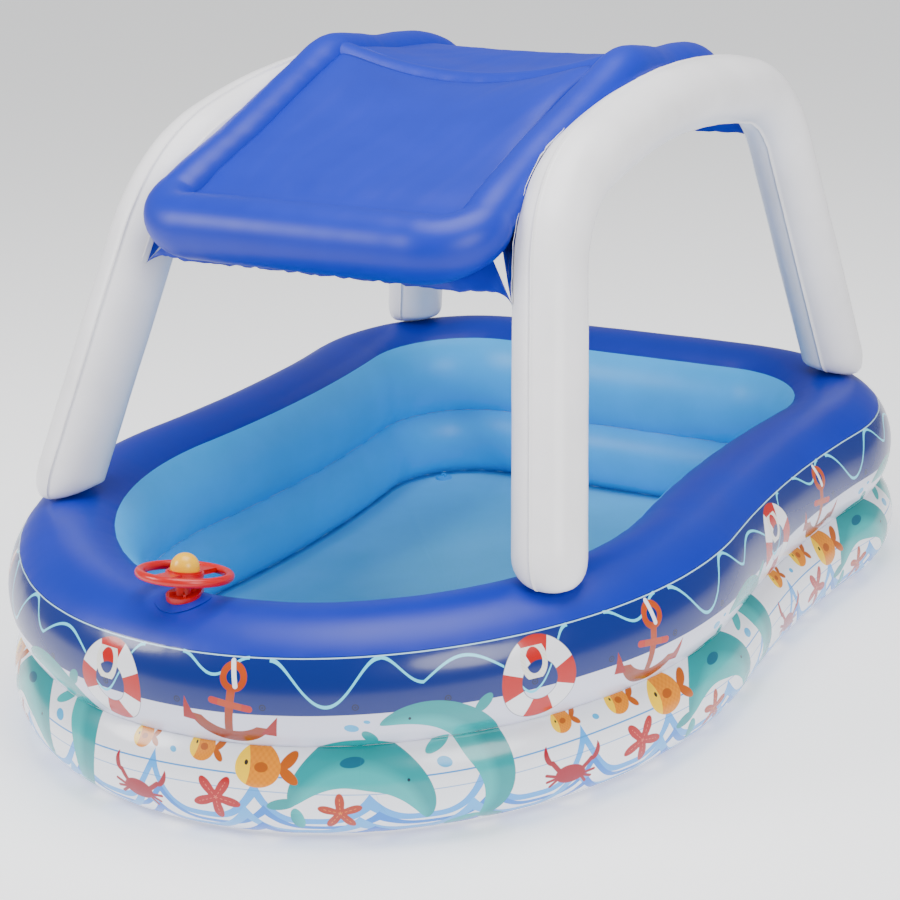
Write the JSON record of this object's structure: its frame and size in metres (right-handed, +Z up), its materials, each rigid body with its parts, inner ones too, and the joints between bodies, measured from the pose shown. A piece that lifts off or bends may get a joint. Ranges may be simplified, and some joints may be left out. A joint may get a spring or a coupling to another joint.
{
  "type": "inflatable paddling pool",
  "caption": "Boat-shaped inflatable children's pool with stacked air rings, flat floor, drain, arched inflated sunshade and a toy steering wheel with horn.",
  "frame": {"origin": "centre of the footprint on the ground, halfway between the outermost bow and stern points", "axes": "-Y towards the bow, +Y towards the stern, +X to the right-hand side when facing the stern, +Z up"},
  "size_m": [1.55, 2.1302, 1.2453],
  "materials": {
    "deep_blue_vinyl": "gloss",
    "printed_vinyl": "gloss, printed sea pattern",
    "white_vinyl": "gloss",
    "pale_blue_vinyl": "gloss, translucent",
    "clear_vinyl": "clear gloss",
    "red_plastic": "moulded, semi-gloss",
    "yellow_plastic": "moulded, semi-gloss",
    "grey_plastic": "matte",
    "steel": "plated"
  },
  "bodies": {
    "hull": {"floor_sheet": "pale_blue_vinyl", "base_panel": "white_vinyl", "lower_outer_panel": "printed_vinyl", "lower_inner_panel": "pale_blue_vinyl", "divider_sheet": "white_vinyl", "upper_outer_panel": "printed_vinyl", "upper_inner_panel": "pale_blue_vinyl", "rim_panel": "deep_blue_vinyl", "drain_seat": "pale_blue_vinyl", "right_arch_outboard_panel": "white_vinyl", "right_arch_inboard_panel": "white_vinyl", "left_arch_outboard_panel": "white_vinyl", "left_arch_inboard_panel": "white_vinyl", "leg_end_discs": "white_vinyl", "leg_patches": "clear_vinyl", "leg_snap_studs": "clear_vinyl", "shade_tube_top_panel": "deep_blue_vinyl", "shade_tube_under_panel": "deep_blue_vinyl", "shade_front_sheet": "deep_blue_vinyl", "shade_rear_sheet": "deep_blue_vinyl", "ridge_top_panel": "deep_blue_vinyl", "ridge_under_panel": "deep_blue_vinyl", "shade_front_hem": "deep_blue_vinyl", "shade_rear_hem": "deep_blue_vinyl", "shade_side_flanges": "deep_blue_vinyl", "wheel_patch": "deep_blue_vinyl", "wheel_base": "red_plastic", "wheel_spindle": "steel", "spindle_washer": "steel", "spindle_screw": "steel", "lower_valve_seat": "clear_vinyl", "upper_valve_seat": "clear_vinyl", "shade_valve_seat": "clear_vinyl", "left_arch_valve_seat": "clear_vinyl", "right_arch_valve_seat": "clear_vinyl"},
    "wheel": {"steering_wheel": "red_plastic", "horn_squeaker": "grey_plastic"},
    "horn": {"horn_button": "yellow_plastic"},
    "drain_plug": {"drain_plug": "pale_blue_vinyl"},
    "lower_valve_cap": {"lower_valve_cap": "clear_vinyl"},
    "upper_valve_cap": {"upper_valve_cap": "clear_vinyl"},
    "shade_valve_cap": {"shade_valve_cap": "clear_vinyl"},
    "left_arch_valve_cap": {"left_arch_valve_cap": "clear_vinyl"},
    "right_arch_valve_cap": {"right_arch_valve_cap": "clear_vinyl"}
  },
  "joints": [
    {"name": "wheel_spin", "type": "hinge", "parent": "hull", "child": "wheel", "pos_m": [0, -0.924, 0.41], "axis": [0, 0.225, 0.9744], "continuous": true},
    {"name": "horn_press", "type": "slide", "parent": "wheel", "child": "horn", "axis": [0, -0.225, -0.9744], "range_m": [0, 0.003], "stiffness_N_per_m": 400, "springref_m": -0.001},
    {"name": "drain_pull", "type": "slide", "parent": "hull", "child": "drain_plug", "axis": [0, 0, 1], "range_m": [0, 0.03]},
    {"name": "lower_cap_pull", "type": "slide", "parent": "hull", "child": "lower_valve_cap", "axis": [-0.9998, 0.0214, 0], "range_m": [0, 0.014]},
    {"name": "upper_cap_pull", "type": "slide", "parent": "hull", "child": "upper_valve_cap", "axis": [-0.9998, 0.0214, 0], "range_m": [0, 0.014]},
    {"name": "shade_cap_pull", "type": "slide", "parent": "hull", "child": "shade_valve_cap", "axis": [0, 0.8525, -0.5228], "range_m": [0, 0.014]},
    {"name": "left_arch_cap_pull", "type": "slide", "parent": "hull", "child": "left_arch_valve_cap", "axis": [0.7164, 0.6974, -0.0204], "range_m": [0, 0.014]},
    {"name": "right_arch_cap_pull", "type": "slide", "parent": "hull", "child": "right_arch_valve_cap", "axis": [-0.7164, 0.6974, -0.0204], "range_m": [0, 0.014]}
  ]
}
